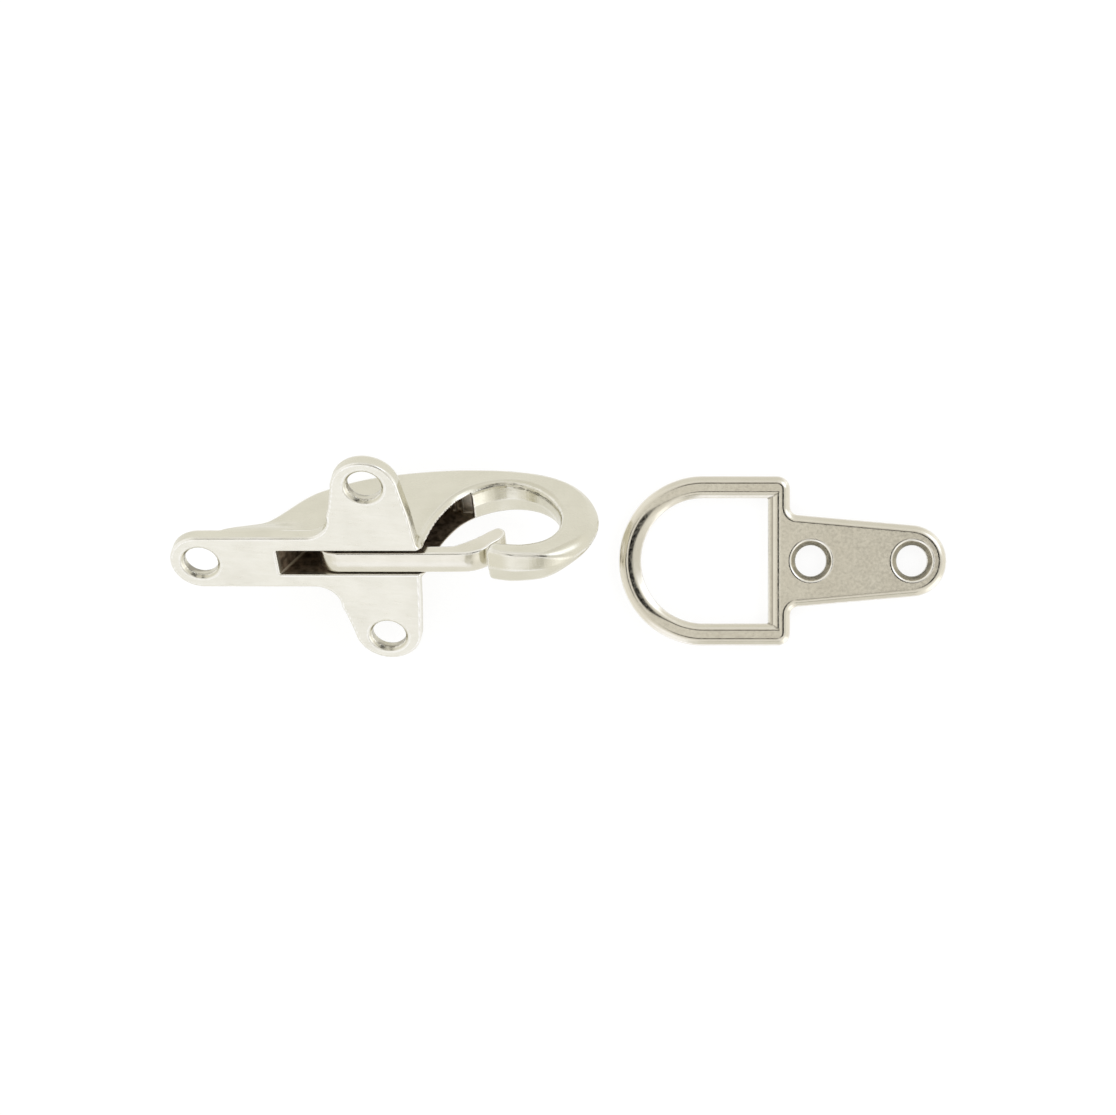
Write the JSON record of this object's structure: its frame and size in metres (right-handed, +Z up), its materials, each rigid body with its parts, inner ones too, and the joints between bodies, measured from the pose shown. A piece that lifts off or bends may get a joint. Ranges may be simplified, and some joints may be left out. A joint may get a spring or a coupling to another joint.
{
  "type": "spring gate hook catch with keeper",
  "caption": "Die-cast snap hook on a three-eared screw plate, with a sprung gate across its mouth, and a loose D-loop keeper plate.",
  "frame": {"origin": "bottom centre of the box around both castings as they lie side by side on a table", "axes": "+X from the hook catch's screw arm towards the keeper's tail, +Z up from the table, +Y completes the frame"},
  "size_m": [0.0966, 0.0246, 0.022],
  "materials": {
    "hook_nickel": "satin nickel plate over a zinc casting",
    "gate_nickel": "semi-bright nickel plate",
    "pin_steel": "drawn steel, plated",
    "spring_steel": "drawn spring wire",
    "keeper_nickel": "semi-bright nickel plate over a zinc casting"
  },
  "bodies": {
    "hook": {"hook_body": "hook_nickel", "gate_pivot_pin": "pin_steel", "gate_spring": "spring_steel"},
    "gate": {"gate_lever": "gate_nickel"},
    "keeper": {"keeper_plate": "keeper_nickel"}
  },
  "joints": [
    {"name": "gate_hinge", "type": "hinge", "parent": "hook", "child": "gate", "pos_m": [-0.0269, 0.00204, 0.00864], "axis": [-0.0984, 0.7771, 0.6216], "range_deg": [0, 20], "stiffness_Nm_per_rad": 0.02, "springref_deg": -34.38, "deforming": ["gate_spring"]},
    {"name": "keeper_slide", "type": "slide", "parent": "hook", "child": "keeper", "axis": [1, 0, 0], "range_m": [0, 0.03]}
  ]
}
